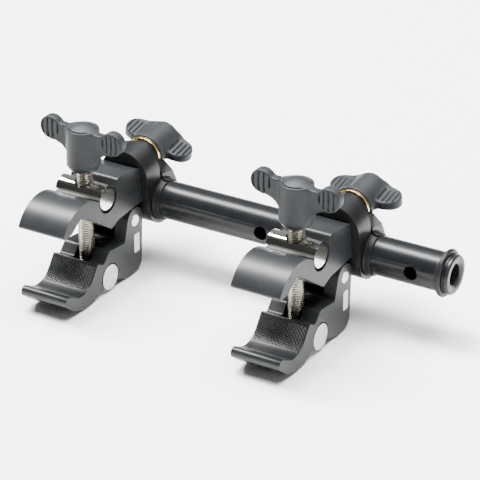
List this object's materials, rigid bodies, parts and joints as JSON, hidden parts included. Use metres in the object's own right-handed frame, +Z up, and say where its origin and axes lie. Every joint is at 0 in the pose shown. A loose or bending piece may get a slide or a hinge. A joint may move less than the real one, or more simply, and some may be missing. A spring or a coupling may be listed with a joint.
{
  "type": "twin jaw clamp rod",
  "caption": "Round black rod with threaded ends, carrying sliding split collars that each hold a jaw clamp with a screw, T-shaped knob and winged locking knob.",
  "frame": {"origin": "centre of the rod's right end, at the mouth of its threaded hole", "axes": "+X out of the rod's right end along its axis; +Z up, towards the T knobs; the jaws open towards -Y"},
  "size_m": [0.2001, 0.108, 0.0862],
  "materials": {
    "rod_black": "satin black anodised",
    "rubber_black": "smooth rubber",
    "bush_black": "smooth moulded",
    "collar_black": "satin black anodised",
    "jaw_grey": "bead-blasted, dark anodised",
    "pad_black": "knurled",
    "plated_barrel": "polished nickel plate",
    "pin_steel": "matte turned",
    "screw_steel": "zinc plated thread",
    "steel": "plain",
    "brass": "turned",
    "knob_grey": "fine moulded grain"
  },
  "bodies": {
    "rod": {"rod_tube": "rod_black", "end_plug_right": "rod_black", "end_plug_left": "rod_black", "end_ring_right": "rubber_black", "end_ring_left": "rubber_black"},
    "slider_right": {"rod_bush_right": "bush_black"},
    "clamp_right": {"rod_clamp_right": "collar_black", "joining_bolt_right": "steel", "dowel_pins_right": "steel", "upper_jaw_right": "jaw_grey", "upper_jaw_pad_right": "pad_black", "hinge_pin_right": "pin_steel", "brass_washer_right": "brass"},
    "lower_jaw_right": {"lower_jaw_right": "jaw_grey", "lower_jaw_pad_right": "pad_black"},
    "barrel_right": {"upper_barrel_right": "plated_barrel"},
    "nut_right": {"lower_barrel_right": "pin_steel"},
    "screw_right": {"clamp_screw_right": "screw_steel"},
    "t_knob_right": {"t_knob_right": "knob_grey", "t_knob_insert_right": "steel"},
    "stud_right": {"wing_stud_right": "screw_steel"},
    "wing_knob_right": {"wing_knob_right": "knob_grey", "wing_knob_insert_right": "brass"},
    "slider_left": {"rod_bush_left": "bush_black"},
    "clamp_left": {"rod_clamp_left": "collar_black", "joining_bolt_left": "steel", "dowel_pins_left": "steel", "upper_jaw_left": "jaw_grey", "upper_jaw_pad_left": "pad_black", "hinge_pin_left": "pin_steel", "brass_washer_left": "brass"},
    "lower_jaw_left": {"lower_jaw_left": "jaw_grey", "lower_jaw_pad_left": "pad_black"},
    "barrel_left": {"upper_barrel_left": "plated_barrel"},
    "nut_left": {"lower_barrel_left": "pin_steel"},
    "screw_left": {"clamp_screw_left": "screw_steel"},
    "t_knob_left": {"t_knob_left": "knob_grey", "t_knob_insert_left": "steel"},
    "stud_left": {"wing_stud_left": "screw_steel"},
    "wing_knob_left": {"wing_knob_left": "knob_grey", "wing_knob_insert_left": "brass"}
  },
  "joints": [
    {"name": "slide_right", "type": "slide", "parent": "rod", "child": "slider_right", "axis": [1, 0, 0], "range_m": [-0.03, 0.028]},
    {"name": "swivel_right", "type": "hinge", "parent": "slider_right", "child": "clamp_right", "pos_m": [-0.0606, 0, 0], "axis": [1, 0, 0], "continuous": true},
    {"name": "jaw_right", "type": "hinge", "parent": "clamp_right", "child": "lower_jaw_right", "pos_m": [-0.0606, -0.0191, -0.00506], "axis": [1, 0, 0], "range_deg": [-14, 8]},
    {"name": "barrel_tilt_right", "type": "hinge", "parent": "clamp_right", "child": "barrel_right", "pos_m": [-0.0606, -0.04206, 0.017], "axis": [1, 0, 0], "range_deg": [-7, 4.2]},
    {"name": "nut_slide_right", "type": "slide", "parent": "barrel_right", "child": "nut_right", "axis": [0, 0, -1], "range_m": [-0.00579, 0.0035]},
    {"name": "screw_advance_right", "type": "slide", "parent": "nut_right", "child": "screw_right", "axis": [0, 0, 1], "range_m": [-0.003, 0.00375]},
    {"name": "t_knob_turn_right", "type": "hinge", "parent": "screw_right", "child": "t_knob_right", "pos_m": [-0.0606, -0.04206, 0.0293], "axis": [0, 0, 1], "range_deg": [-870, 1086]},
    {"name": "stud_slide_right", "type": "slide", "parent": "clamp_right", "child": "stud_right", "axis": [0, 0.9945, 0.1045], "range_m": [0, 0.003]},
    {"name": "wing_knob_turn_right", "type": "hinge", "parent": "stud_right", "child": "wing_knob_right", "pos_m": [-0.057, 0.00523, 0.01915], "axis": [0, 0.9945, 0.1045], "range_deg": [-6, 1086]},
    {"name": "slide_left", "type": "slide", "parent": "rod", "child": "slider_left", "axis": [1, 0, 0], "range_m": [-0.004, 0.03]},
    {"name": "swivel_left", "type": "hinge", "parent": "slider_left", "child": "clamp_left", "pos_m": [-0.1765, 0, 0], "axis": [1, 0, 0], "continuous": true},
    {"name": "jaw_left", "type": "hinge", "parent": "clamp_left", "child": "lower_jaw_left", "pos_m": [-0.1765, -0.0191, -0.00506], "axis": [1, 0, 0], "range_deg": [-14, 8]},
    {"name": "barrel_tilt_left", "type": "hinge", "parent": "clamp_left", "child": "barrel_left", "pos_m": [-0.1765, -0.04206, 0.017], "axis": [1, 0, 0], "range_deg": [-7, 4.2]},
    {"name": "nut_slide_left", "type": "slide", "parent": "barrel_left", "child": "nut_left", "axis": [0, 0, -1], "range_m": [-0.00579, 0.0035]},
    {"name": "screw_advance_left", "type": "slide", "parent": "nut_left", "child": "screw_left", "axis": [0, 0, 1], "range_m": [-0.003, 0.00375]},
    {"name": "t_knob_turn_left", "type": "hinge", "parent": "screw_left", "child": "t_knob_left", "pos_m": [-0.1765, -0.04206, 0.0293], "axis": [0, 0, 1], "range_deg": [-870, 1086]},
    {"name": "stud_slide_left", "type": "slide", "parent": "clamp_left", "child": "stud_left", "axis": [0, 0.9945, 0.1045], "range_m": [0, 0.003]},
    {"name": "wing_knob_turn_left", "type": "hinge", "parent": "stud_left", "child": "wing_knob_left", "pos_m": [-0.1729, 0.00523, 0.01915], "axis": [0, 0.9945, 0.1045], "range_deg": [-6, 1086]}
  ],
  "couplings": [
    {"joint": "barrel_tilt_right", "follows": "jaw_right", "ratio": 0.482},
    {"joint": "nut_slide_right", "follows": "jaw_right", "m_per_rad": 0.0236},
    {"joint": "t_knob_turn_right", "follows": "screw_advance_right", "rad_per_m": 5026.5},
    {"joint": "wing_knob_turn_right", "follows": "stud_slide_right", "rad_per_m": 6283.2},
    {"joint": "barrel_tilt_left", "follows": "jaw_left", "ratio": 0.482},
    {"joint": "nut_slide_left", "follows": "jaw_left", "m_per_rad": 0.0236},
    {"joint": "t_knob_turn_left", "follows": "screw_advance_left", "rad_per_m": 5026.5},
    {"joint": "wing_knob_turn_left", "follows": "stud_slide_left", "rad_per_m": 6283.2}
  ]
}
